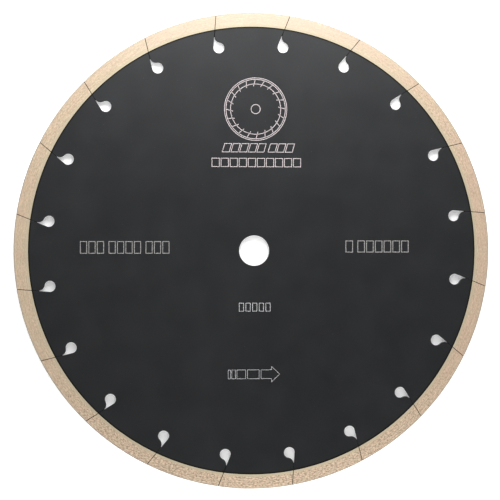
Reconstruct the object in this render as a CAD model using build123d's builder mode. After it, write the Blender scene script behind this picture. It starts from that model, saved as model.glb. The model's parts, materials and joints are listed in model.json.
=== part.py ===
from build123d import *
from math import atan2, cos, radians, sin, sqrt
import os

# A segmented diamond blade: a thin steel disc whose edge carries a sintered, bronze-bonded rim.
# The blade stands upright on edge. Its spin axis is Y, the marked face looks towards -Y, and the
# origin is the centre of the bore at half the thickness. All sizes are in millimetres.

# --- driving dimensions -------------------------------------------------------------------

# blade as a whole
blade_diameter = 250.0  # over the cutting edge
bore_diameter = 15.875  # arbor hole, 5/8 in

# steel core
core_thickness = 1.8
bore_chamfer = 0.1  # deburred edge of the bore, on both faces

# sintered rim
rim_height = 7.5  # from the steel's edge to the cutting edge
rim_thickness = 2.2  # width of the cut
rim_edge_radius = 0.3  # eased corners of the cutting edge
base_height = 1.2  # diamond-free layer between the steel and the diamond layer
base_side_step = 0.05  # how far that layer lies below the rim's sides

# slots that divide the rim, each ending in a teardrop gullet in the steel
slot_count = 20
slot_width = 0.25
slot_lean = 14.0  # degrees from the radius, clockwise on the way out
first_gullet_angle = 9.9  # degrees from +X, counterclockwise on the marked face
gullet_radius = 2.9
gullet_setback = 9.6  # gullet centre to the steel's edge
flare_radius = 3.0  # concave curve by which the gullet runs out into the slot

# --- sizes that follow from them ----------------------------------------------------------

blade_radius = blade_diameter / 2
bore_radius = bore_diameter / 2
core_radius = blade_radius - rim_height
base_outer_radius = core_radius + base_height
base_thickness = rim_thickness - 2 * base_side_step
gullet_centre_radius = core_radius - gullet_setback


def slot_point(along, across):
    """A point at a distance along a slot from its gullet's centre, and across it to the left."""
    lean = radians(slot_lean)
    return (
        along * cos(lean) + across * sin(lean),
        across * cos(lean) - along * sin(lean),
    )


# --- the cut that one slot makes ----------------------------------------------------------
# It is drawn about the gullet's centre, with local X pointing away from the blade's centre. The
# slot's left edge is tangent to the gullet, and the flare joins its right edge to the gullet.

slot_left = gullet_radius
slot_right = gullet_radius - slot_width
slot_length = 1.5 * (gullet_setback + rim_height)  # longer than the way out through the rim

flare_across = slot_right - flare_radius  # centre of the flare's arc
flare_along = sqrt((gullet_radius + flare_radius) ** 2 - flare_across**2)
touch_share = gullet_radius / (gullet_radius + flare_radius)
touch_along = flare_along * touch_share  # where the flare touches the gullet
touch_across = flare_across * touch_share

# directions from the flare's centre to its two ends, and to the middle of its arc
flare_end_angle = atan2(touch_across - flare_across, touch_along - flare_along)
flare_mid_angle = (radians(90) + flare_end_angle) / 2
flare_mid_along = flare_along + flare_radius * cos(flare_mid_angle)
flare_mid_across = flare_across + flare_radius * sin(flare_mid_angle)

with BuildSketch() as slot_cut:
    with BuildLine():
        Line(slot_point(0, slot_left), slot_point(slot_length, slot_left))
        Line(slot_point(slot_length, slot_left), slot_point(slot_length, slot_right))
        Line(slot_point(slot_length, slot_right), slot_point(flare_along, slot_right))
        ThreePointArc(
            slot_point(flare_along, slot_right),
            slot_point(flare_mid_along, flare_mid_across),
            slot_point(touch_along, touch_across),
        )
        ThreePointArc(
            slot_point(touch_along, touch_across),
            slot_point(-gullet_radius, 0),
            slot_point(0, slot_left),
        )
    make_face()

# --- steel core ---------------------------------------------------------------------------

with BuildPart() as steel_core:
    with BuildSketch(Plane.XZ):
        Circle(core_radius)
        Circle(bore_radius, mode=Mode.SUBTRACT)
    extrude(amount=core_thickness / 2, both=True)
    bore_edges = steel_core.edges().filter_by(GeomType.CIRCLE).group_by(SortBy.RADIUS)[0]
    chamfer(bore_edges, length=bore_chamfer)
    with BuildSketch(Plane.XZ):
        with PolarLocations(gullet_centre_radius, slot_count, start_angle=first_gullet_angle):
            add(slot_cut.sketch)
    extrude(amount=core_thickness, both=True, mode=Mode.SUBTRACT)

# --- rings that the slots divide into arcs ------------------------------------------------


def angle_of(face):
    """Where an arc of a ring lies, in radians counterclockwise from +X on the marked face."""
    middle = face.center()
    return atan2(middle.Z, middle.X) % radians(360)


with BuildSketch(Plane.XZ) as diamond_ring:
    Circle(blade_radius)
    Circle(base_outer_radius, mode=Mode.SUBTRACT)
    with PolarLocations(gullet_centre_radius, slot_count, start_angle=first_gullet_angle):
        add(slot_cut.sketch, mode=Mode.SUBTRACT)

with BuildSketch(Plane.XZ) as base_ring:
    Circle(base_outer_radius)
    Circle(core_radius, mode=Mode.SUBTRACT)
    with PolarLocations(gullet_centre_radius, slot_count, start_angle=first_gullet_angle):
        add(slot_cut.sketch, mode=Mode.SUBTRACT)

# --- files, one for each piece ------------------------------------------------------------

os.makedirs("parts", exist_ok=True)

steel_core.part.label = "steel_core"
export_step(steel_core.part, "parts/steel_core.step")

for number, outline in enumerate(diamond_ring.sketch.faces().sort_by(angle_of), start=1):
    with BuildPart() as rim_segment:
        extrude(outline, amount=rim_thickness / 2, both=True)
        cutting_corners = rim_segment.edges().filter_by(GeomType.CIRCLE).group_by(SortBy.RADIUS)[-1]
        fillet(cutting_corners, radius=rim_edge_radius)
    rim_segment.part.label = f"rim_segment_{number:02d}"
    export_step(rim_segment.part, f"parts/{rim_segment.part.label}.step")

for number, outline in enumerate(base_ring.sketch.faces().sort_by(angle_of), start=1):
    with BuildPart() as base_strip:
        extrude(outline, amount=base_thickness / 2, both=True)
    base_strip.part.label = f"base_strip_{number:02d}"
    export_step(base_strip.part, f"parts/{base_strip.part.label}.step")
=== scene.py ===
# %% [markdown]
# # A diamond blade, piece by piece
# The blade is a thin steel disc with a coated face, and round its edge twenty arcs of sintered
# bronze that hold the diamond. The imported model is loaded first. It fixes every size and place,
# and all that follows is only a better surface for the same pieces.

import json
import random
from math import atan2, cos, hypot, pi, radians, sin

import bmesh
import bpy
from mathutils import Euler, Matrix, Vector, noise


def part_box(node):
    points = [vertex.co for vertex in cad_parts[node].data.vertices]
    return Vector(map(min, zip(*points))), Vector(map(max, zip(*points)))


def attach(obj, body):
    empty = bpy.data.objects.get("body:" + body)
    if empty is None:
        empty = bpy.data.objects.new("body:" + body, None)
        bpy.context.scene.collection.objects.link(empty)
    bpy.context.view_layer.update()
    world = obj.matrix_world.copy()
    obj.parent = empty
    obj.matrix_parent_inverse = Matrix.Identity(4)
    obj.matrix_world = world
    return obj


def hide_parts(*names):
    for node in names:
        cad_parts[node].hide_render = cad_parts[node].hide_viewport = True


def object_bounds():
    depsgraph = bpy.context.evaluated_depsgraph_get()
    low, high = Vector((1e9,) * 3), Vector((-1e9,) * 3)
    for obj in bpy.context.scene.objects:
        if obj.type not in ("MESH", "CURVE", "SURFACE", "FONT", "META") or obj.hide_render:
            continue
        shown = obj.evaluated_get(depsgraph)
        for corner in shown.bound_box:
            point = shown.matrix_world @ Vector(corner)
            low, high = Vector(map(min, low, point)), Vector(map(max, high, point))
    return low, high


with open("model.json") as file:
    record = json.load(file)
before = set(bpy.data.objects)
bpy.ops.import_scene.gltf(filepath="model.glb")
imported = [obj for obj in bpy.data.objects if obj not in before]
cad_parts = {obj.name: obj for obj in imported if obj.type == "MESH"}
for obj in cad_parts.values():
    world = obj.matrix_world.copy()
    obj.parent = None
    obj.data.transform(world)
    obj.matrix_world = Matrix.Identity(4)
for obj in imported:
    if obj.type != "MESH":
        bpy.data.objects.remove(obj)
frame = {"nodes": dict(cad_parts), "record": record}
cad_low, cad_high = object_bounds()
record = frame["record"]
print("CAD box, mm:", [round(1000 * (high - low), 2) for low, high in zip(cad_low, cad_high)])

# %% [markdown]
# The spin axis is Y, and the marked face looks towards -Y. The radii and thicknesses of the
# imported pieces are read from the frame, so that they aren't written a second time. The script
# counts in metres, and mm turns millimetres into them.

# %% Read the sizes
mm = 0.001
blade_radius = (cad_high.x - cad_low.x) / 2
core_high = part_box("steel_core")[1]
core_radius = core_high.x
core_face = core_high.y  # half of the core's thickness
bore_radius = record["mounts"][0]["dims"]["r_mm"] * mm
segment_nodes = sorted(name for name in frame["nodes"] if name.startswith("rim_segment"))
strip_nodes = sorted(name for name in frame["nodes"] if name.startswith("base_strip"))
print("blade, core and bore radius, mm:",
      [round(radius / mm, 4) for radius in (blade_radius, core_radius, bore_radius)])

# %% [markdown]
# The camera stands a little to the left of the blade's own axis and level with the bore, so
# the disc looks round, and the walls of its holes just show on the far side.

# %% Camera
camera_turn = radians(4.1)
camera_distance = 630.7 * mm
camera_slide = -2.16 * mm
camera_lift = 0.29 * mm

look = Vector((sin(camera_turn), cos(camera_turn), 0))
right = Vector((cos(camera_turn), -sin(camera_turn), 0))
camera = bpy.data.objects.new("camera", bpy.data.cameras.new("camera"))
camera.data.lens = 86.4
camera.data.sensor_width = 36
camera.location = -camera_distance * look + camera_slide * right + Vector((0, 0, camera_lift))
camera.rotation_mode = "QUATERNION"
camera.rotation_quaternion = look.to_track_quat("-Z", "Y")
bpy.context.scene.collection.objects.link(camera)
bpy.context.scene.camera = camera
print("camera at, mm:", [round(value / mm, 1) for value in camera.location])


# %% [markdown]
# Materials are small networks of nodes. Two helpers keep them readable: one adds a node and
# sets its inputs by name, the other makes a material and sets the plain values of its shader.
# A value that is the same all over a surface is always set on the shader itself, which is also
# what an exporter can read.

# %% Node helpers
def add_node(tree, kind, inputs=None, **settings):
    """Adds a node. inputs holds plain values or the sockets that feed it, by name or number."""
    made = tree.nodes.new("ShaderNode" + kind)
    for key, value in settings.items():
        setattr(made, key, value)
    for key, value in (inputs or {}).items():
        if isinstance(value, bpy.types.NodeSocket):
            tree.links.new(value, made.inputs[key])
        else:
            made.inputs[key].default_value = value
    return made


def new_material(name, **values):
    """A material with a Principled shader, whose plain sockets are set from values."""
    made = bpy.data.materials.new(name)
    made.use_nodes = True
    shader = made.node_tree.nodes["Principled BSDF"]
    for key, value in values.items():
        shader.inputs[key.replace("_", " ")].default_value = value
    return made, made.node_tree, shader


# %% [markdown]
# Patterns are read from object coordinates, which here are the frame's own metres, so a pattern
# keeps its real size on every piece. Turned and ground metal carries marks that run round the
# spin axis. They come from a noise read in polar coordinates: angle one way, radius the other.

# %% Patterns
def object_place(tree):
    """The point's place on the object."""
    return add_node(tree, "TexCoord").outputs["Object"]


def object_axes(tree):
    """The point's place on the object, as separate X, Y and Z values."""
    return add_node(tree, "SeparateXYZ", {0: object_place(tree)}).outputs


def noise_of(tree, scale, detail=2.0, vector=None):
    """A noise value, about 0.5 on average. scale is in waves for each metre."""
    if vector is None:
        vector = object_place(tree)
    inputs = {"Scale": scale, "Detail": detail, "Vector": vector}
    return add_node(tree, "TexNoise", inputs).outputs["Fac"]


def rings_of(tree, scale):
    """A noise of the radius alone, as rings round the spin axis."""
    inputs = {"Scale": scale, "Detail": 2.0, "W": radius_of(tree)}
    return add_node(tree, "TexNoise", inputs, noise_dimensions="1D").outputs["Fac"]


def ramp_of(tree, value, *stops):
    """A colour ramp through stops of (place, grey or colour)."""
    made = add_node(tree, "ValToRGB", {"Fac": value})
    elements = made.color_ramp.elements
    while len(elements) < len(stops):
        elements.new(0.5)
    for element, (place, colour) in zip(elements, stops):
        element.position = place
        rgb = colour if isinstance(colour, tuple) else (colour,) * 3
        element.color = (*rgb, 1)
    return made.outputs["Color"]


def mix_of(tree, factor, first, second):
    """Mixes two colours. Each may be a socket or a plain colour."""
    made = add_node(tree, "Mix", data_type="RGBA")
    for index, value in ((0, factor), (6, first), (7, second)):
        if isinstance(value, bpy.types.NodeSocket):
            tree.links.new(value, made.inputs[index])
        else:
            made.inputs[index].default_value = (*value, 1) if isinstance(value, tuple) else value
    return made.outputs[2]


def math_of(tree, operation, first, second=0.0):
    """One sum on two values."""
    return add_node(tree, "Math", {0: first, 1: second}, operation=operation).outputs[0]


def scaled_of(tree, value, low, high, to_low=0.0, to_high=1.0):
    """The value, which runs from low to high, made to run from to_low to to_high."""
    return add_node(tree, "MapRange", {
        "Value": value, "From Min": low, "From Max": high, "To Min": to_low, "To Max": to_high}).outputs[0]


def radius_of(tree):
    """The distance from the spin axis, in metres."""
    axes = object_axes(tree)
    flat = add_node(tree, "CombineXYZ", {0: axes["X"], 1: axes["Z"]})
    return add_node(tree, "VectorMath", {0: flat.outputs[0]}, operation="LENGTH").outputs["Value"]


def streaks_of(tree, across, along, detail=2.0):
    """A noise drawn out round the spin axis. across and along are in waves for each metre."""
    axes = object_axes(tree)
    angle = math_of(tree, "ARCTAN2", axes["Z"], axes["X"])
    round_way = math_of(tree, "MULTIPLY", angle, along * blade_radius)
    out_way = math_of(tree, "MULTIPLY", radius_of(tree), across)
    drawn = add_node(tree, "CombineXYZ", {0: round_way, 1: out_way, 2: axes["Y"]})
    return noise_of(tree, 1.0, detail, drawn.outputs[0])


# %% [markdown]
# ## Room
# A blade like this is shown on white. The floor is a wide pale sheet under the rim's lowest
# point. A white sheet under soft light is never quite white, so it gives off some light of its
# own to the camera. Close to the foot of the rim it also glows a little as a light, as a white
# table throws light back on what stands there.

# %% Floor
def sheet(name, corners, finish):
    """A flat sheet with four corners, as part of the staging."""
    mesh = bpy.data.meshes.new(name)
    mesh.from_pydata(corners, [], [(0, 1, 2, 3)])
    mesh.materials.append(finish)
    made = bpy.data.objects.new(name, mesh)
    bpy.context.scene.collection.objects.link(made)
    made.visible_glossy = False
    return made


floor_half = 6.0
glow_middle = (0.3 * blade_radius, 0, cad_low.z)
floor_finish, tree, shader = new_material(
    "pale_floor", Base_Color=(0.9, 0.9, 0.9, 1), Roughness=0.9, Emission_Color=(1, 1, 1, 1))
away = add_node(tree, "VectorMath", {0: object_place(tree), 1: glow_middle}, operation="DISTANCE")
lift = scaled_of(tree, away.outputs["Value"], 0.05, 0.6, 0.6, 0.9)
glow = scaled_of(tree, away.outputs["Value"], 0.03, 0.16, 0.85, 0.0)
straight = add_node(tree, "LightPath").outputs["Is Camera Ray"]
strength = add_node(tree, "Mix", {0: straight, 2: glow, 3: lift})
tree.links.new(strength.outputs[0], shader.inputs["Emission Strength"])
floor_corners = [(x * floor_half, y * floor_half, cad_low.z)
                 for x, y in ((-1, -1), (1, -1), (1, 1), (-1, 1))]
sheet("floor", floor_corners, floor_finish)
print("floor at height, mm:", round(cad_low.z / mm, 2))

# %% [markdown]
# A sheet of white paper stands right behind the blade, as when a blade leans on a white wall.
# What shows through the bore and the gullets is this paper, in the blade's own shade. The wide
# bore lets in enough light to look white, and the small gullets look pale grey, so the paper
# gives off some light behind the bore, less behind the gullets, most outside the rim, and a
# little more towards the top. It is one-sided, so that it never hides the back face, and neither
# diffuse light nor reflections see it, so it adds nothing to the light on the blade.

# %% Backdrop
backdrop_half = 3.0
backdrop_gap = 0.3 * mm
lift_reach = 2.5 * blade_radius
paper, tree, shader = new_material(
    "backdrop_paper", Base_Color=(0.9, 0.9, 0.9, 1), Roughness=0.9, Emission_Color=(1, 1, 1, 1))
lift_of_radius = ramp_of(tree, math_of(tree, "DIVIDE", radius_of(tree), lift_reach),
                         (0.02, 0.34), (0.10, 0.20), (0.392, 0.20), (0.404, 0.60), (1.0, 0.90))
lift_of_height = scaled_of(tree, object_axes(tree)["Z"], 0.0, blade_radius, 0.0, 0.28)
lift = math_of(tree, "ADD", lift_of_radius, lift_of_height)
tree.links.new(lift, shader.inputs["Emission Strength"])
behind = add_node(tree, "NewGeometry").outputs["Backfacing"]
clear = add_node(tree, "BsdfTransparent")
one_sided = add_node(tree, "MixShader", {0: behind, 1: shader.outputs[0], 2: clear.outputs[0]})
tree.links.new(one_sided.outputs[0], tree.nodes["Material Output"].inputs["Surface"])
backdrop_corners = [(x * backdrop_half, cad_high.y + backdrop_gap, cad_low.z + z * backdrop_half)
                    for x, z in ((-1, 0), (1, 0), (1, 1), (-1, 1))]
backdrop = sheet("backdrop", backdrop_corners, paper)
backdrop.visible_diffuse = False
backdrop.visible_shadow = False
print("backdrop behind the blade, mm:", round(backdrop_gap / mm, 2))

# %% [markdown]
# A satin black face shows whatever light it meets, so what lights it is mostly dark. The world
# is white where the camera looks straight at it. As a light it is a bright band above the blade
# and a pale ground below it, and dark between them. Two soft boxes hang above the blade, one on
# each side, so that both faces fade from light at the top to dark at the foot.

# %% World and soft boxes
world = bpy.data.worlds.new("studio")
world.use_nodes = True
tree = world.node_tree
tree.nodes.clear()
way = add_node(tree, "TexCoord").outputs["Generated"]
rise = add_node(tree, "SeparateXYZ", {0: way}).outputs["Z"]
sky = ramp_of(tree, scaled_of(tree, rise, -1.0, 1.0),
              (0.0, 0.85), (0.40, 0.0), (0.60, 0.0), (0.72, 0.95), (0.86, 0.10))
lit = add_node(tree, "Background", {"Color": sky, "Strength": 1.5})
seen = add_node(tree, "Background", {"Color": (1, 1, 1, 1), "Strength": 1.0})
straight = add_node(tree, "LightPath").outputs["Is Camera Ray"]
both = add_node(tree, "MixShader", {0: straight, 1: lit.outputs[0], 2: seen.outputs[0]})
tree.links.new(both.outputs[0], add_node(tree, "OutputWorld").inputs["Surface"])
bpy.context.scene.world = world

box_height = 300 * mm
box_reach = 200 * mm
box_width, box_depth = 400 * mm, 100 * mm
box_shift = 15 * mm
box_aim = 0.64 * blade_radius
box_watts = 1.62
for name, side in (("front_soft_box", -1), ("back_soft_box", 1)):
    lamp = bpy.data.lights.new(name, "AREA")
    lamp.shape = "RECTANGLE"
    lamp.size = box_width
    lamp.size_y = box_depth
    lamp.energy = box_watts
    soft_box = bpy.data.objects.new(name, lamp)
    soft_box.location = (-side * box_shift, side * box_reach, box_height)
    aim = Vector((0, 0, box_aim)) - soft_box.location
    soft_box.rotation_mode = "QUATERNION"
    soft_box.rotation_quaternion = aim.to_track_quat("-Z", "Y")
    soft_box.visible_camera = False
    bpy.context.scene.collection.objects.link(soft_box)

bpy.context.scene.view_settings.view_transform = "Standard"
print("soft boxes:", box_watts, "W each")

# %% [markdown]
# ## The steel core
# The core is stamped or laser cut from thin saw steel, ground flat, and sprayed with a satin
# charcoal coat. In a narrow band next to the rim it is darker, browner and less glossy. Its
# colour is a dark cloudy grey with specks and a little dust, which keeps a large flat face from
# looking like plain plastic.

# %% Coating
coating, tree, shader = new_material("core_coating")
cloud = noise_of(tree, 60, 4)
smudge = noise_of(tree, 11, 3)
speckle = noise_of(tree, 1500, 2)
tone = ramp_of(tree, cloud, (0.3, (0.0060, 0.0071, 0.0086)), (0.7, (0.0084, 0.0096, 0.0112)))
tone = mix_of(tree, 0.12, tone, ramp_of(tree, speckle, (0.35, 0.004), (0.75, 0.03)))
dust = add_node(tree, "TexVoronoi", {"Vector": object_place(tree), "Scale": 240})
dust_spot = math_of(tree, "LESS_THAN", dust.outputs["Distance"], 0.03)
tone = mix_of(tree, dust_spot, tone, (0.10, 0.10, 0.11))
# A narrow band next to the rim is darker, browner and less glossy.
next_to_rim = scaled_of(tree, radius_of(tree), core_radius - 1.0 * mm, core_radius - 0.2 * mm)
tone = mix_of(tree, next_to_rim, tone, (0.007, 0.0065, 0.003))
tree.links.new(tone, shader.inputs["Base Color"])
tree.links.new(scaled_of(tree, next_to_rim, 0.0, 1.0, 0.71, 0.12), shader.inputs["Specular IOR Level"])
print("coat's colour:", len(tree.nodes), "nodes")

# %% [markdown]
# The gloss matters as much as the colour. Handling leaves wide smudges in it, the spray leaves a
# faint orange peel, and the grinder's rings just show through. The bore is ground after the
# spray, so its wall is bare turned steel.

# %% Gloss of the coating, and bare steel
clouded = scaled_of(tree, cloud, 0.0, 1.0, 0.33, 0.43)
smudged = scaled_of(tree, smudge, 0.0, 1.0, 0.0, 0.14)
tree.links.new(math_of(tree, "ADD", clouded, smudged), shader.inputs["Roughness"])
peel = noise_of(tree, 1100, 3)
rings = streaks_of(tree, 2600, 30)
relief = math_of(tree, "ADD", math_of(tree, "MULTIPLY", peel, 0.6), math_of(tree, "MULTIPLY", rings, 0.4))
bump = add_node(tree, "Bump", {"Height": relief, "Strength": 0.15, "Distance": 0.03 * mm})
tree.links.new(bump.outputs[0], shader.inputs["Normal"])

bare_steel, tree, shader = new_material("bare_steel", Metallic=1.0, Roughness=0.35)
turned = streaks_of(tree, 4000, 60)
steel_tone = ramp_of(tree, turned, (0.3, (0.42, 0.42, 0.43)), (0.7, (0.58, 0.57, 0.56)))
tree.links.new(steel_tone, shader.inputs["Base Color"])
print("bare steel:", len(tree.nodes), "nodes")


# %% [markdown]
# The core's outline, with its slots and teardrop gullets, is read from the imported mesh: it is
# the chain of edges between the flat marked face and the walls. Its long arcs are drawn again
# with short steps, so that they stay as round as the rim they meet.

# %% Outline of the core
same_point = 0.001 * mm
same_radius = 0.01 * mm
flat_enough = 0.999  # how far along Y the normal of a flat face points


def face_outlines(node):
    """The closed chains of points round a piece's flat marked face, as (x, z), longest first."""
    mesh = bmesh.new()
    mesh.from_mesh(frame["nodes"][node].data)
    bmesh.ops.remove_doubles(mesh, verts=mesh.verts, dist=same_point)
    mesh.normal_update()
    following = {}
    for face in mesh.faces:
        if face.normal.y > -flat_enough:
            continue
        for loop in face.loops:
            beside = [other for other in loop.edge.link_faces if other is not face]
            if beside and beside[0].normal.y > -flat_enough:
                here, there = loop.vert, loop.link_loop_next.vert
                following[here.index] = (there.index, (here.co.x, here.co.z))
    mesh.free()
    chains = []
    while following:
        index = next(iter(following))
        chain = []
        while index in following:
            index, point = following.pop(index)
            chain.append(point)
        chains.append(chain)
    return sorted(chains, key=len, reverse=True)


def turn_between(first, last):
    """The turn from one angle to another the short way round, in radians."""
    return (last - first + pi) % (2 * pi) - pi


def rounded(chain, radius, step):
    """The chain again, with points added along its arcs of this radius about the spin axis."""
    result = []
    for start, end in zip(chain, chain[1:] + chain[:1]):
        result.append(start)
        on_arc = all(abs(hypot(*point) - radius) < same_radius for point in (start, end))
        first = atan2(start[1], start[0])
        turn = turn_between(first, atan2(end[1], end[0]))
        count = int(abs(turn) * radius / step) + 1
        if on_arc:
            for number in range(1, count):
                angle = first + turn * number / count
                result.append((radius * cos(angle), radius * sin(angle)))
    return result


arc_step = 0.5 * mm
core_outline = rounded(face_outlines("steel_core")[0], core_radius, arc_step)
print("core outline:", len(core_outline), "points")


# %% [markdown]
# A filled two-sided curve turns outlines into a plate, holes included, and its bevel eases the
# edges as the deburring brush does. The curve is then made into a mesh, and its doubled points
# are merged so that the plate is closed.

# %% Plate helpers
def turn_faces_out(mesh, merge=0.0):
    """Merges points that are nearer than merge, and turns every face of the mesh outwards."""
    shape = bmesh.new()
    shape.from_mesh(mesh)
    if merge:
        bmesh.ops.remove_doubles(shape, verts=shape.verts, dist=merge)
    bmesh.ops.recalc_face_normals(shape, faces=shape.faces)
    shape.to_mesh(mesh)
    shape.free()


def plate(name, outlines, half_thickness, ease):
    """A closed plate in the XZ plane from outlines of (x, z), with its edges eased."""
    curve = bpy.data.curves.new(name, "CURVE")
    curve.dimensions = "2D"
    curve.fill_mode = "BOTH"
    curve.extrude = half_thickness - ease
    curve.bevel_depth = ease
    curve.bevel_resolution = 2
    curve.offset = -ease
    for outline in outlines:
        spline = curve.splines.new("POLY")
        spline.points.add(len(outline) - 1)
        for point, (x, z) in zip(spline.points, outline):
            point.co = (x, z, 0, 1)
        spline.use_cyclic_u = True
    holder = bpy.data.objects.new(name, curve)
    mesh = bpy.data.meshes.new_from_object(holder)
    bpy.data.objects.remove(holder)
    bpy.data.curves.remove(curve)
    mesh.transform(Matrix.Rotation(radians(90), 4, "X"))
    turn_faces_out(mesh, same_point)
    for face in mesh.polygons:
        face.use_smooth = abs(face.normal.y) < 0.5
    return mesh


def place(name, mesh, finish, slot=None, node=None):
    """Adds a piece to the scene and ties it to the frame."""
    mesh.name = name
    piece = bpy.data.objects.new(name, mesh)
    bpy.context.scene.collection.objects.link(piece)
    for material in finish if isinstance(finish, tuple) else (finish,):
        mesh.materials.append(material)
    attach(piece, "root")
    if node:
        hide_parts(node)


# %% [markdown]
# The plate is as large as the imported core, and only its sharp edges are eased. The faces of the
# bore's wall get the bare steel. They are found by their distance from the spin axis.

# %% Core plate
edge_ease = 0.08 * mm
bore_steps = 96
bore_angles = [2 * pi * k / bore_steps for k in range(bore_steps)]
bore_outline = [(bore_radius * cos(angle), bore_radius * sin(angle)) for angle in bore_angles]
core_mesh = plate("core_plate", [core_outline, bore_outline], core_face, edge_ease)
place("core_plate", core_mesh, (coating, bare_steel), "core_coating", "steel_core")
for face in core_mesh.polygons:
    if hypot(face.center.x, face.center.z) < bore_radius + edge_ease and len(face.vertices) == 4:
        face.material_index = 1
print("core plate:", len(core_mesh.polygons), "faces")

# %% [markdown]
# A slot is cut by a laser and is very narrow. Deep inside it a thin dark web joins the two
# walls. The web is painted shade, a near-black sheet standing for the shade deep in the slot, so
# the slots look dark although the gullets are open. A slot's two walls in the steel are the only
# long straight edges of the outline, so they are found by their length. The shorter one ends
# where the gullet begins to open.

# %% Walls of the slots
shortest_wall = 1.5 * mm
widest_slot = 1.0 * mm
walls = []
for start, end in zip(core_outline, core_outline[1:] + core_outline[:1]):
    outer, inner = sorted((Vector(start), Vector(end)), key=lambda point: -point.length)
    if (outer - inner).length > shortest_wall:
        walls.append((outer, inner))
if (walls[0][0] - walls[1][0]).length > widest_slot:  # the first two belong to different slots
    walls = walls[1:] + walls[:1]
print("walls:", len(walls), "for", len(walls) // 2, "slots")

# %% [markdown]
# Each web is a bar in the middle of the blade's thickness. It bites a little into both walls,
# starts in the gullet's narrow end and stops just below the cutting edge. It is painted shade:
# near black, with no gloss at all.

# %% Painted shade in the slots
web_half = 0.15 * mm
web_recess = 0.2 * mm
web_reach = 0.6 * mm  # how far the web runs into the gullet's narrow end
web_bite = 0.05 * mm


def web_mesh(name, first, second):
    """A flat bar that joins the two walls of a slot, from its gullet to just below the rim's edge."""
    outer, inner = min(first, second, key=lambda wall: (wall[0] - wall[1]).length)
    way = (outer - inner).normalized()
    middle = (first[0] + second[0]) / 2
    across = Vector((-way.y, way.x))
    half = abs((first[0] - second[0]).dot(across)) / 2 + web_bite
    near = middle - way * ((middle - inner).dot(way) + web_reach)
    sideways = middle.dot(across)
    far = across * sideways + way * ((blade_radius - web_recess) ** 2 - sideways ** 2) ** 0.5
    ring = [near - across * half, far - across * half, far + across * half, near + across * half]
    points = [(p.x, y, p.y) for y in (-web_half, web_half) for p in ring]
    faces = [(0, 1, 2, 3), (7, 6, 5, 4)] + [(k, k + 4, (k + 1) % 4 + 4, (k + 1) % 4) for k in range(4)]
    mesh = bpy.data.meshes.new(name)
    mesh.from_pydata(points, [], faces)
    turn_faces_out(mesh)
    return mesh


# Painted shade: a near-black, glossless finish for the webs and for the slot walls of the rim.
slot_shade, tree, shader = new_material("slot_shade", Roughness=0.9, Specular_IOR_Level=0.0)
shade_tone = ramp_of(tree, noise_of(tree, 900), (0.3, 0.002), (0.7, 0.006))
tree.links.new(shade_tone, shader.inputs["Base Color"])
for number in range(len(walls) // 2):
    name = f"slot_shade_{number + 1:02d}"
    place(name, web_mesh(name, walls[2 * number], walls[2 * number + 1]), slot_shade)
print("slots with a web of coat:", len(walls) // 2)

# %% [markdown]
# ## The diamond rim
# Each arc of the rim is bronze powder and diamond grit, pressed and sintered in a mould, then
# ground on its sides. The metal comes out matt and uneven: pinkish tan in the middle of the rim,
# and yellower at its two edges, on one side of the blade and in patches. One value from 0 to 1,
# summed from all of these, chooses between the two colours.

# %% Bronze: its two colours
bronze, tree, shader = new_material("sintered_bronze", Metallic=0.25)
pink_way = (0.8 / blade_radius, 0, -0.6 / blade_radius)
slope = add_node(tree, "VectorMath", {0: object_place(tree), 1: pink_way}, operation="DOT_PRODUCT")
drift = scaled_of(tree, slope.outputs["Value"], -1.0, 1.0, 0.36, 0.64)
wander = scaled_of(tree, noise_of(tree, 16, 2), 0.0, 1.0, -0.3, 0.3)
drift = math_of(tree, "ADD", drift, wander)
patches = noise_of(tree, 240, 4)
lean = math_of(tree, "ADD", math_of(tree, "MULTIPLY", patches, 0.5), math_of(tree, "MULTIPLY", drift, 0.5))

rise = scaled_of(tree, radius_of(tree), core_radius, blade_radius)
band = ramp_of(tree, rise, (0.15, 0.0), (0.42, 1.0), (0.75, 1.0), (1.0, 0.3))
lean = math_of(tree, "ADD", lean, math_of(tree, "MULTIPLY", math_of(tree, "SUBTRACT", band, 1.0), 0.15))
pink, yellow = (0.64, 0.445, 0.325), (0.59, 0.49, 0.335)
tone = ramp_of(tree, lean, (0.36, yellow), (0.56, pink))
print("bronze, two colours:", len(tree.nodes), "nodes")

# %% [markdown]
# Over the colour lies a sandy grain with dark flecks, where grit has been torn out of the metal,
# and thin rings from the grinding wheel. The grain isn't the same all round: it is strongest at
# the foot. The very top is painted paler and less saturated, a painted highlight where the light
# from above falls on it. So height rules the share of each.

# %% Bronze: grain, rings and flecks
height = scaled_of(tree, object_axes(tree)["Z"], -blade_radius, blade_radius)
grain = streaks_of(tree, 1700, 800, 4)
grain_tone = ramp_of(tree, grain, (0.37, (0.26, 0.17, 0.11)), (0.63, (0.94, 0.755, 0.555)))
grain_share = ramp_of(tree, height, (0.0, 0.98), (0.15, 0.80), (0.26, 0.38),
                      (0.58, 0.30), (0.75, 0.50), (1.0, 0.30))
tone = mix_of(tree, grain_share, tone, grain_tone)
rings = streaks_of(tree, 2200, 140)
ring_tone = ramp_of(tree, rings, (0.3, (0.41, 0.305, 0.215)), (0.7, (0.76, 0.60, 0.43)))
tone = mix_of(tree, 0.40, tone, ring_tone)
# Painted highlight: the very top of the rim is mixed towards a pale, less saturated bronze.
top_highlight_share = ramp_of(tree, height, (0.84, 0.0), (1.0, 0.35))
tone = mix_of(tree, top_highlight_share, tone, (0.64, 0.57, 0.48))

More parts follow.
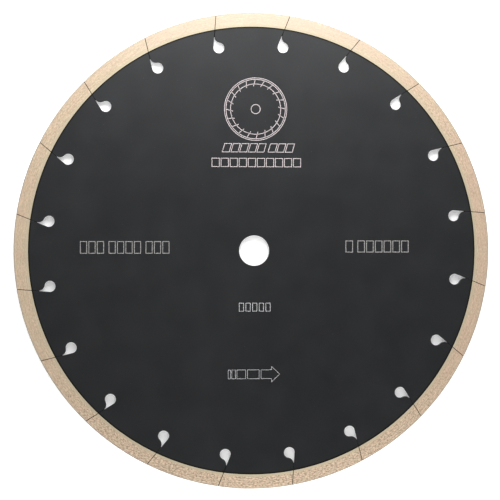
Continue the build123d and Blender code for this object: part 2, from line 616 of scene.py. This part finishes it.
fleck = add_node(tree, "TexVoronoi", {"Vector": object_place(tree), "Scale": 1100})
fleck_size = ramp_of(tree, fleck.outputs["Color"], (0.50, 0.0), (0.95, 0.45))
fleck_spot = math_of(tree, "LESS_THAN", fleck.outputs["Distance"], fleck_size)
fleck_share = ramp_of(tree, grain_share, (0.30, 0.05), (0.80, 0.60))
tone = mix_of(tree, math_of(tree, "MULTIPLY", fleck_spot, fleck_share), tone, (0.20, 0.13, 0.09))
print("bronze with grain:", len(tree.nodes), "nodes")

# %% [markdown]
# The outermost millimetre is greyer. The same grain also drives the roughness and a shallow bump,
# so that what looks dark also looks deep. The grit itself is modelled later as small crystals,
# and here it gets its own darker, glassier finish.

# %% Bronze: greyer edge and relief, and the grit
# The outermost millimetre is mixed towards grey.
blend = scaled_of(tree, radius_of(tree), blade_radius - 0.9 * mm, blade_radius - 0.3 * mm)
tone = mix_of(tree, math_of(tree, "MULTIPLY", blend, 0.55), tone, (0.40, 0.38, 0.36))
tree.links.new(tone, shader.inputs["Base Color"])
tree.links.new(scaled_of(tree, grain, 0.0, 1.0, 0.45, 0.65), shader.inputs["Roughness"])
bump = add_node(tree, "Bump", {"Height": grain, "Strength": 0.4, "Distance": 0.05 * mm})
tree.links.new(bump.outputs[0], shader.inputs["Normal"])
print("bronze, whole:", len(tree.nodes), "nodes")

grit_finish, tree, shader = new_material("diamond_grit", Roughness=0.4, IOR=1.8)
grit_tone = ramp_of(tree, noise_of(tree, 500, 1), (0.3, (0.16, 0.10, 0.06)), (0.7, (0.34, 0.24, 0.15)))
tree.links.new(grit_tone, shader.inputs["Base Color"])


# %% [markdown]
# An arc of the rim is a small profile carried from one slot wall to the next. The walls are
# straight and lean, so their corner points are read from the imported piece, and every point of
# the profile runs from its place on one wall to its place on the other.

# %% Arc helpers
def wall_corners(node):
    """The (angle, radius) of a piece's four corners: both walls at its foot, then at its top."""
    low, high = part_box(node)
    middle = (low + high) / 2
    facing = atan2(middle.z, middle.x)
    polar = []
    for vertex in frame["nodes"][node].data.vertices:
        turn = turn_between(facing, atan2(vertex.co.z, vertex.co.x))
        polar.append((facing + turn, hypot(vertex.co.x, vertex.co.z)))
    foot = min(r for _, r in polar)
    top = max(r for _, r in polar)
    at_foot = [a for a, r in polar if r < foot + same_radius]
    at_top = [a for a, r in polar if r > top - same_radius]
    return (min(at_foot), foot), (max(at_foot), foot), (min(at_top), top), (max(at_top), top)


def flat_point(angle, radius):
    return Vector((radius * cos(angle), 0, radius * sin(angle)))


def steps(first, last, size):
    """Values from first up to last, last left out, in steps near this size."""
    count = max(1, round(abs(last - first) / size))
    return [first + (last - first) * k / count for k in range(count)]


print("corners of a segment, mm from the axis:",
      [round(radius / mm, 2) for _, radius in wall_corners(segment_nodes[0])])


# %% [markdown]
# The skin is a grid: the profile's points one way, steps along the arc the other. The first and
# last step are only a hair wide and come first in the list of faces, so that they and the slot
# walls can be given the slots' painted shade, a near-black finish that keeps the slot dark.

# %% Arc skin
shade_margin = 0.05 * mm


def arc_faces(node, profile, step, dent):
    """Carries the profile along the node's arc. Each of its points is (rise, y, outward rise,
    outward y). dent gives how far a point of the surface is sunk. Returns points and faces, of
    which the first 2 + 2 * len(profile) are the slot walls and their hair-wide margins, which
    take the slots' painted shade."""
    start_foot, end_foot, start_top, end_top = wall_corners(node)
    start = [flat_point(*start_foot).lerp(flat_point(*start_top), rise) for rise, *_ in profile]
    end = [flat_point(*end_foot).lerp(flat_point(*end_top), rise) for rise, *_ in profile]
    length = (end_top[0] - start_top[0]) * start_top[1]
    margin = shade_margin / length
    shares = [0.0, *(margin + k for k in steps(0, 1 - 2 * margin, step / length)), 1 - margin, 1.0]
    count = len(shares) - 1
    points = []
    for share in shares:
        for (rise, y, out_rise, out_y), a, b in zip(profile, start, end):
            first = atan2(a.z, a.x)
            angle = first + turn_between(first, atan2(b.z, b.x)) * share
            radius = a.length + (b.length - a.length) * share
            spot = flat_point(angle, radius) + Vector((0, y, 0))
            out = flat_point(angle, out_rise) + Vector((0, out_y, 0))
            points.append(spot - out * dent(spot))
    size = len(profile)
    faces = [tuple(reversed(range(size))), tuple(range(count * size, (count + 1) * size))]
    for row in (0, count - 1, *range(1, count - 1)):
        for k in range(size):
            here, there = row * size + k, row * size + (k + 1) % size
            faces.append((here, there, there + size, here + size))
    return points, faces


def solid_mesh(name, points, faces, smooth_faces):
    """A mesh whose faces all look outwards. The first smooth_faces of them are shaded smooth."""
    mesh = bpy.data.meshes.new(name)
    mesh.from_pydata(points, [], faces)
    turn_faces_out(mesh)
    mesh.polygons.foreach_set("use_smooth", [index < smooth_faces for index in range(len(faces))])
    mesh.set_sharp_from_angle(angle=radians(40))
    return mesh


# %% [markdown]
# The profile of the rim has eased corners at the cutting edge. The bronze is sunk a few
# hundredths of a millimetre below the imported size, by a noise that leaves fine pits, so that
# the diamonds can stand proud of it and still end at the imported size.

# %% Rim profile and pits
rim_half = cad_high.y
segment_foot, segment_top = (corner[1] for corner in wall_corners(segment_nodes[0])[1:3])
segment_height = segment_top - segment_foot
edge_radius = 0.3 * mm
corner_steps = 4
mesh_step = 0.25 * mm


def rim_profile():
    """The rim's section, as a closed ring of points with their outward directions."""
    ease = edge_radius / segment_height
    rise_step = mesh_step / segment_height
    corner_angles = [radians(90) * k / corner_steps for k in range(corner_steps)]
    ring = [(rise, -rim_half, 0, -1) for rise in steps(0, 1 - ease, rise_step)]
    for angle in corner_angles:
        rise = 1 - ease + ease * sin(angle)
        ring.append((rise, -rim_half + edge_radius * (1 - cos(angle)), sin(angle), -cos(angle)))
    ring += [(1, y, 1, 0) for y in steps(-rim_half + edge_radius, rim_half - edge_radius, mesh_step)]
    for angle in corner_angles:
        rise = 1 - ease + ease * cos(angle)
        ring.append((rise, rim_half - edge_radius * (1 - sin(angle)), cos(angle), sin(angle)))
    ring += [(rise, rim_half, 0, 1) for rise in steps(1 - ease, 0, rise_step)]
    ring += [(0, y, 0, 0) for y in steps(rim_half, -rim_half, mesh_step)]
    return ring


def pits(spot):
    """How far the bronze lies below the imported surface, in metres."""
    fine = noise.noise(spot * 2600)
    coarse = noise.noise(spot * 700)
    return (0.045 + 0.02 * fine + 0.015 * coarse) * mm


profile = rim_profile()
print("rim profile:", len(profile), "points, height, mm:", round(segment_height / mm, 2))


# %% [markdown]
# Diamond grit is grown as small blunt octahedra. A few hundred of them lie in each segment, each
# turned its own way, on both sides and on the cutting edge. A random generator with a fixed seed
# for each segment places them, so that every run gives the same blade.

# %% Diamond grit
grit_size = 0.17 * mm
grit_per_segment = 260
crystal_points = [Vector(p) for p in ((1, 0, 0), (0, 1, 0), (-1, 0, 0), (0, -1, 0), (0, 0, 1), (0, 0, -1))]
crystal_faces = [(k, (k + 1) % 4, 4) for k in range(4)] + [((k + 1) % 4, k, 5) for k in range(4)]


def grit_of(node, seed):
    """Small eight-sided crystals in the sides and the cutting edge of a segment."""
    chance = random.Random(seed)
    start_foot, end_foot, start_top, end_top = wall_corners(node)
    points, faces = [], []
    for _ in range(grit_per_segment):
        size = grit_size * chance.uniform(0.7, 1.15)
        share, rise = chance.uniform(0.02, 0.98), chance.uniform(0.04, 0.93)
        first = start_foot[0] + (start_top[0] - start_foot[0]) * rise
        last = end_foot[0] + (end_top[0] - end_foot[0]) * rise
        angle = first + (last - first) * share
        side = chance.choice((-1, 1, -1, 1, 0))
        radius = segment_foot + segment_height * rise
        y = side * (rim_half - size)
        if side == 0:
            radius = segment_top - size
            y = chance.uniform(-0.7, 0.7) * rim_half
        centre = flat_point(angle, radius) + Vector((0, y, 0))
        turn = Euler([chance.uniform(0, pi) for _ in range(3)]).to_matrix()
        faces += [tuple(len(points) + k for k in face) for face in crystal_faces]
        points += [centre + turn @ (point * size) for point in crystal_points]
    return points, faces


print("grit crystals:", grit_per_segment * len(segment_nodes))

# %% [markdown]
# A segment is one mesh of three finishes: bronze for its skin, grit for the crystals, and the
# slots' painted shade, near black, for the walls at its two ends and the hair-wide margins beside them.

# %% Rim segments
for number, node in enumerate(segment_nodes, start=1):
    points, faces = arc_faces(node, profile, mesh_step, pits)
    grit_points, grit_faces = grit_of(node, number)
    all_faces = faces + [tuple(len(points) + k for k in face) for face in grit_faces]
    segment = solid_mesh(f"diamond_segment_{number:02d}", points + grit_points, all_faces, len(faces))
    # Painted shade on the slot walls and their margins.
    shade_faces = 2 + 2 * len(profile)
    kinds = [2] * shade_faces + [0] * (len(faces) - shade_faces) + [1] * len(grit_faces)
    segment.polygons.foreach_set("material_index", kinds)
    place(segment.name, segment, (bronze, grit_finish, slot_shade), "diamond_rim", node)
print("rim segments:", len(segment_nodes), "of", len(segment.polygons), "faces")

# %% [markdown]
# Between the steel and the diamond layer lies a thin strip of the same bronze without grit. It
# is what bonds to the steel, and it is smoother, paler and yellower than the rest.

# %% Base strips
strip_finish, tree, shader = new_material("plain_bronze", Metallic=0.25, Roughness=0.5)
rings = rings_of(tree, 2500)
ring_tone = ramp_of(tree, rings, (0.3, (0.44, 0.375, 0.25)), (0.7, (0.65, 0.56, 0.39)))
tone = ramp_of(tree, noise_of(tree, 1800, 2), (0.3, (0.53, 0.45, 0.31)), (0.7, (0.63, 0.54, 0.39)))
tree.links.new(mix_of(tree, 0.3, tone, ring_tone), shader.inputs["Base Color"])
bump = add_node(tree, "Bump", {"Height": rings, "Strength": 0.2, "Distance": 0.02 * mm})
tree.links.new(bump.outputs[0], shader.inputs["Normal"])

strip_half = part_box(strip_nodes[0])[1].y
strip_sunk = 0.01 * mm
rise_step = 0.25
strip_ring = [(rise, -strip_half, 0, -1) for rise in steps(0, 1, rise_step)]
strip_ring += [(1, y, 0, 0) for y in steps(-strip_half, strip_half, arc_step)]
strip_ring += [(rise, strip_half, 0, 1) for rise in steps(1, 0, rise_step)]
strip_ring += [(0, y, 0, 0) for y in steps(strip_half, -strip_half, arc_step)]
for number, node in enumerate(strip_nodes, start=1):
    points, faces = arc_faces(node, strip_ring, arc_step, lambda spot: strip_sunk)
    strip = solid_mesh(f"base_strip_piece_{number:02d}", points, faces, len(faces))
    # The strip's slot walls and their hair-wide margins take the slots' painted shade.
    shade_faces = 2 + 2 * len(strip_ring)
    strip.polygons.foreach_set("material_index", [1] * shade_faces + [0] * (len(faces) - shade_faces))
    place(strip.name, strip, (strip_finish, slot_shade), "rim_base", node)
print("base strips:", len(strip_nodes), "of", len(strip.polygons), "faces")

# %% [markdown]
# ## Marks on the face
# The marks are made by a laser, as thin pale lines in the coat. The metal comes out whitish, pink
# or grey, as the beam was stronger or weaker, so there are three finishes, each a little uneven.

# %% Engraved lines
def engraving(name, dark, light):
    """Bared metal that is a little uneven from dark to light."""
    finish, tree, shader = new_material(name, Roughness=0.6)
    blend = noise_of(tree, 1900, 3)
    tree.links.new(ramp_of(tree, blend, (0.3, dark), (0.6, light)), shader.inputs["Base Color"])
    return finish


pink_line = engraving("pink_engraving", (0.42, 0.37, 0.375), (0.66, 0.585, 0.595))
grey_line = engraving("grey_engraving", (0.17, 0.17, 0.165), (0.36, 0.35, 0.34))
white_line = engraving("white_engraving", (0.46, 0.46, 0.48), (0.70, 0.70, 0.72))
print("line finishes:", [finish.name for finish in (pink_line, grey_line, white_line)])

# %% [markdown]
# Each line is a flat ribbon, three hundredths of a millimetre proud of the coat, which is far
# too little to see as height but keeps the two surfaces from flickering through each other. At
# a corner, the ribbon's two sides meet on the line that halves the angle, as in a picture frame.

# %% Ribbon helper
line_width = 0.34 * mm
mark_low = core_face - 0.02 * mm
mark_high = core_face + 0.03 * mm


def ribbon(shape, path, closed, width):
    """Adds a flat closed ribbon along a path of (x, z) in metres, with mitred corners."""
    points = [Vector(p) for p in path]
    count = len(points)
    sides = []
    for k, here in enumerate(points):
        before = points[k - 1] if closed or k else None
        after = points[(k + 1) % count] if closed or k < count - 1 else None
        ways = [(b - a).normalized() for a, b in ((before, here), (here, after)) if a and b]
        across = [Vector((-way.y, way.x)) for way in ways]
        mitre = sum(across, Vector((0, 0))).normalized()
        reach = width / 2 / max(0.3, mitre.dot(across[0]))
        sides.append((here + mitre * reach, here - mitre * reach))
    rings = [[shape.verts.new((p.x, y, p.y)) for p, y in
              ((left, -mark_high), (right, -mark_high), (right, -mark_low), (left, -mark_low))]
             for left, right in sides]
    last = count if closed else count - 1
    for k in range(last):
        here, there = rings[k], rings[(k + 1) % count]
        for n in range(4):
            shape.faces.new((here[n], there[n], there[(n + 1) % 4], here[(n + 1) % 4]))
    if not closed:
        shape.faces.new(rings[0])
        shape.faces.new(reversed(rings[-1]))


def mark(name, strokes, finish=pink_line, width=line_width):
    """A piece made of ribbons. strokes holds (path in mm, closed)."""
    shape = bmesh.new()
    for path, closed in strokes:
        ribbon(shape, [(x * mm, z * mm) for x, z in path], closed, width)
    bmesh.ops.recalc_face_normals(shape, faces=shape.faces)
    mesh = bpy.data.meshes.new(name)
    shape.to_mesh(mesh)
    shape.free()
    place(name, mesh, finish)
    print(name, len(mesh.polygons), "faces")


def box_path(x0, x1, z0, z1, slant=0.0):
    return [(x0, z0), (x1, z0), (x1 + slant, z1), (x0 + slant, z1)]


def circle_path(x, z, radius, count=72):
    angles = [2 * pi * k / count for k in range(count)]
    return [(x + radius * cos(angle), z + radius * sin(angle)) for angle in angles]


# %% [markdown]
# The arrow points the way the rim has to run, which a fitter needs to see. It starts with four
# outlined blocks, each longer than the last, and ends in an outlined arrowhead. Marks are laid
# out in millimetres on the face, with X to the right and Z up.

# %% Spin arrow
arrow_z = -64.93
block_height = 4.63
head_height = 8.15
x = -13.67
shaft_length = 5.5
head_length = 4.3
half, wide = block_height / 2, head_height / 2
strokes = []
for block_width, gap in ((1.19, 0.68), (1.93, 0.79), (4.58, 0.93), (6.13, 1.04)):
    strokes.append((box_path(x, x + block_width, arrow_z - half, arrow_z + half), True))
    x += block_width + gap
neck = x + shaft_length
tip = neck + head_length
outline = [(x, -half), (neck, -half), (neck, -wide), (tip, 0), (neck, wide), (neck, half), (x, half)]
strokes.append(([(px, arrow_z + pz) for px, pz in outline], True))
mark("spin_arrow", strokes, finish=white_line, width=0.17 * mm)

# %% [markdown]
# A maker puts a round picture at the top of the face. Here it is a plain disc seen face on: its
# rim, the leaning slots that divide it, and its bore.

# %% Disc picture
disc_x, disc_z = 0.75, 74.25
disc_radii = (16.4, 15.6, 13.2, 2.4)
slot_ends = ((12.0, 0.10), (15.6, 0.01))  # the radius of each end, and its turn in radians
slots_shown = len(segment_nodes)
disc_strokes = [(circle_path(disc_x, disc_z, radius), True) for radius in disc_radii]
for k in range(slots_shown):
    angle = 2 * pi * k / slots_shown
    ends = [(disc_x + r * cos(angle + a), disc_z + r * sin(angle + a)) for r, a in slot_ends]
    disc_strokes.append((ends, False))
mark("disc_picture", disc_strokes)

# %% [markdown]
# Names and figures aren't drawn. Rows of blank cells stand in their places: upright boxes, one
# after another in words, as on a form that hasn't been filled in. The numbers give each row's
# left, right, lower and upper edge in millimetres, and how many cells each word has.

# %% Blank cells
def blank_line(name, x0, x1, z0, z1, words, slant=0.0, gap=0.9, **style):
    """Rows of outlined cells from x0 to x1. words holds how many cells each word has."""
    cells = sum(words)
    cell_width = (x1 - x0 - gap * (cells - 1) - 1.5 * gap * (len(words) - 1)) / cells
    strokes = []
    x = x0
    for word in words:
        for _ in range(word):
            strokes.append((box_path(x, x + cell_width, z0, z1, slant), True))
            x += cell_width + gap
        x += 1.5 * gap
    mark(name, strokes, **style)


blank_line("title_cells", -16.8, 20, 51.7, 56.1, (5, 3), slant=1.3)
blank_line("subtitle_cells", -22.2, 24.5, 44.0, 48.4, (10,))
blank_line("speed_cells", -90.6, -44.6, -1.4, 4.7, (3, 4, 3), gap=1.1,
           finish=grey_line, width=0.38 * mm)
blank_line("series_cells", 48.5, 81.8, -0.8, 5.1, (1, 6), gap=1.1,
           finish=grey_line, width=0.42 * mm)
blank_line("number_cells", -7.9, 8.4, -31.8, -27.6, (5,), gap=1.2,
           finish=white_line, width=0.24 * mm)

# %% [markdown]
# Last, the scene is brought up to date.

# %% Finish
bpy.context.view_layer.update()
